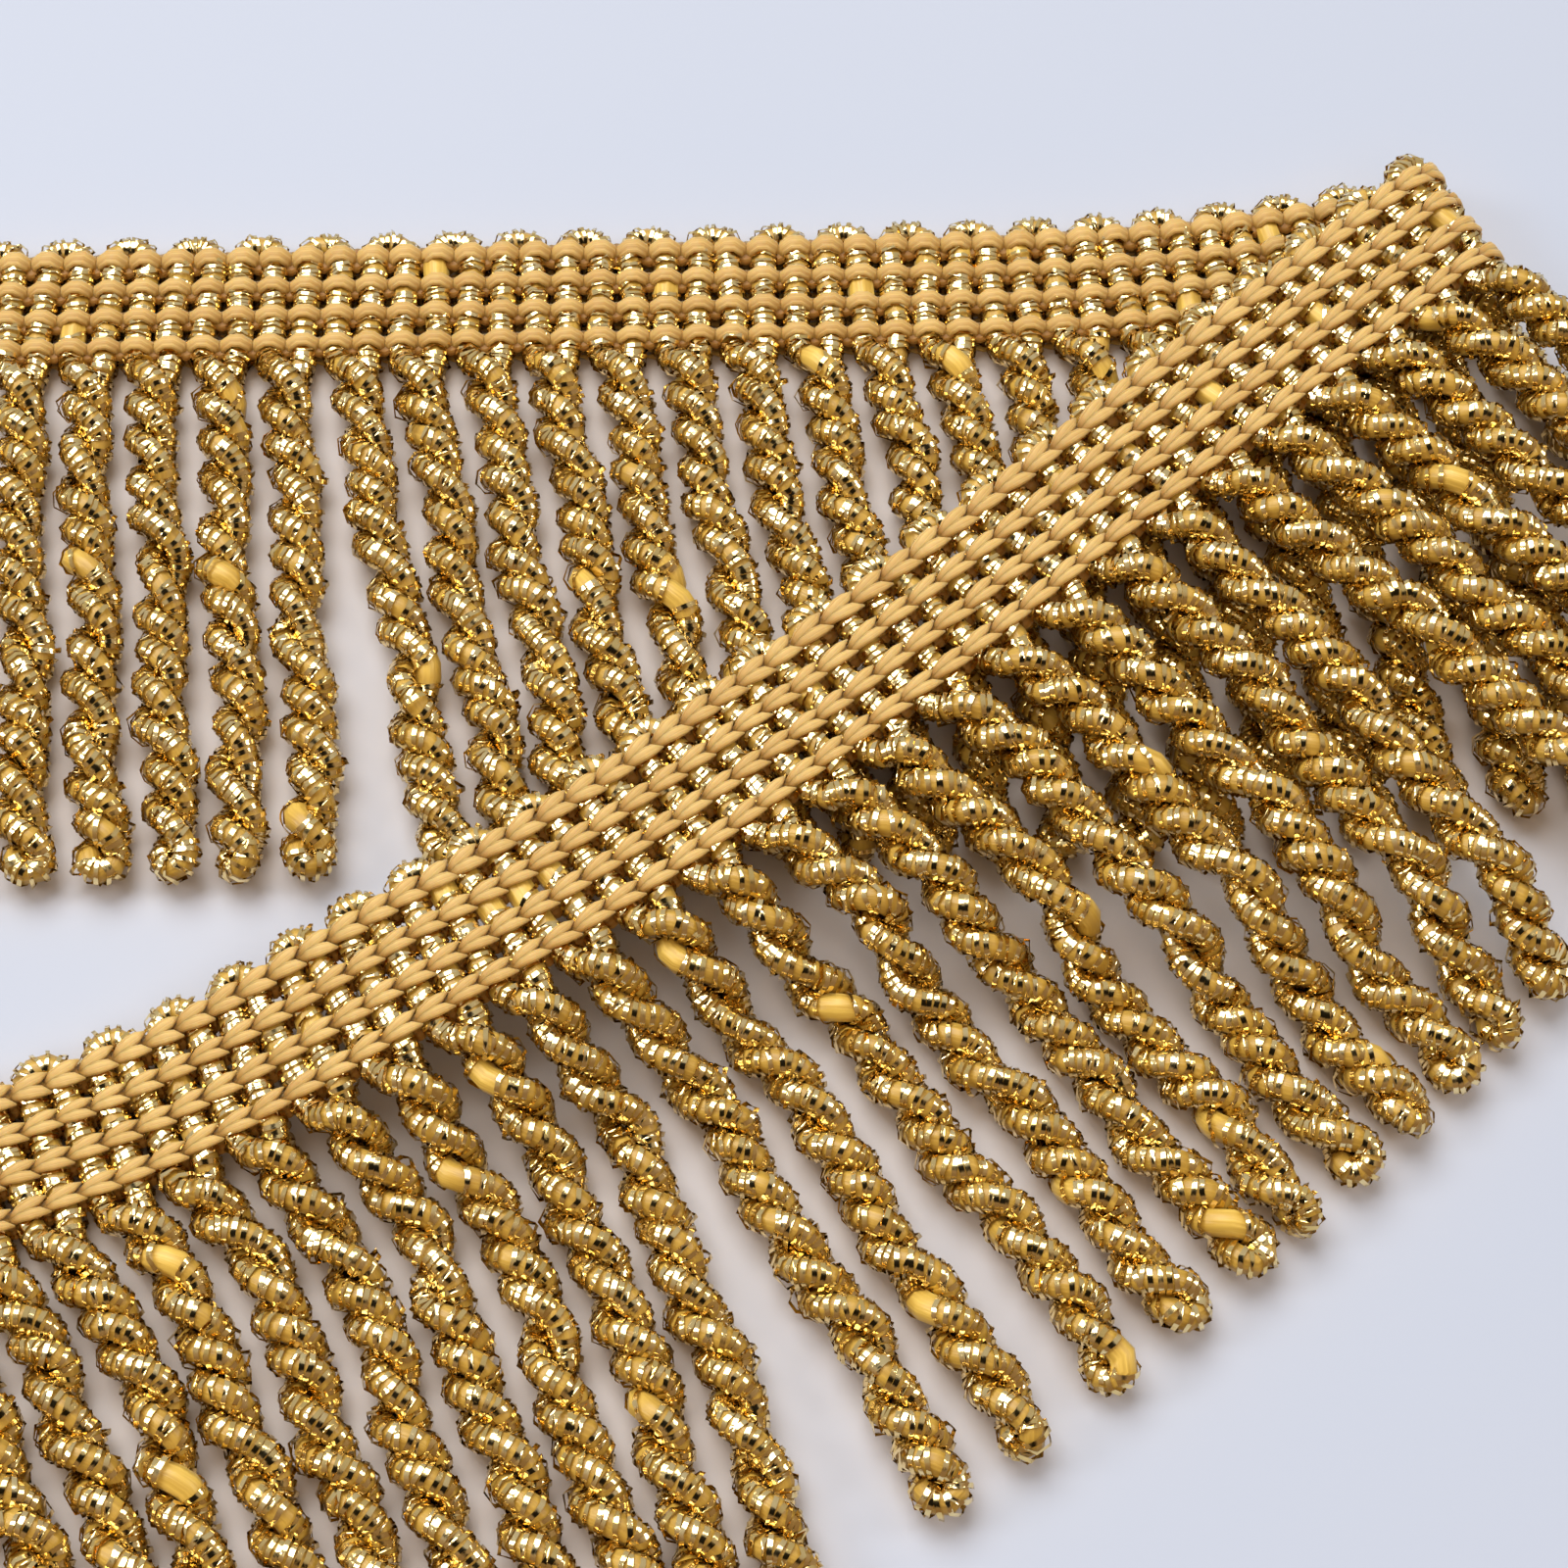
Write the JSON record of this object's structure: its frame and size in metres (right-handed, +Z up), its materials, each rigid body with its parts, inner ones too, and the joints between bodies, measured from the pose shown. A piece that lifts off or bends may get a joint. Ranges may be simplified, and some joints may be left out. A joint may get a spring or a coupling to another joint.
{
  "type": "bullion fringe trim",
  "caption": "Cut length of knitted bullion fringe with a four-row chain heading and twisted gold strands, lying folded over once.",
  "frame": {"origin": "on the surface the trim lies on, under the middle of its bounding box", "axes": "+X along the rear run towards the fold, +Y from the strands to the rear heading, +Z up"},
  "size_m": [0.1328, 0.1185, 0.0078],
  "materials": {
    "chain_yarn": "satin tan yarn with gold gimp between the rows",
    "bullion": "yellow yarn core wrapped in shiny gold metallic tape"
  },
  "bodies": {
    "root": {"heading": "chain_yarn", "rear_fringe": "bullion", "front_fringe": "bullion"}
  },
  "joints": []
}
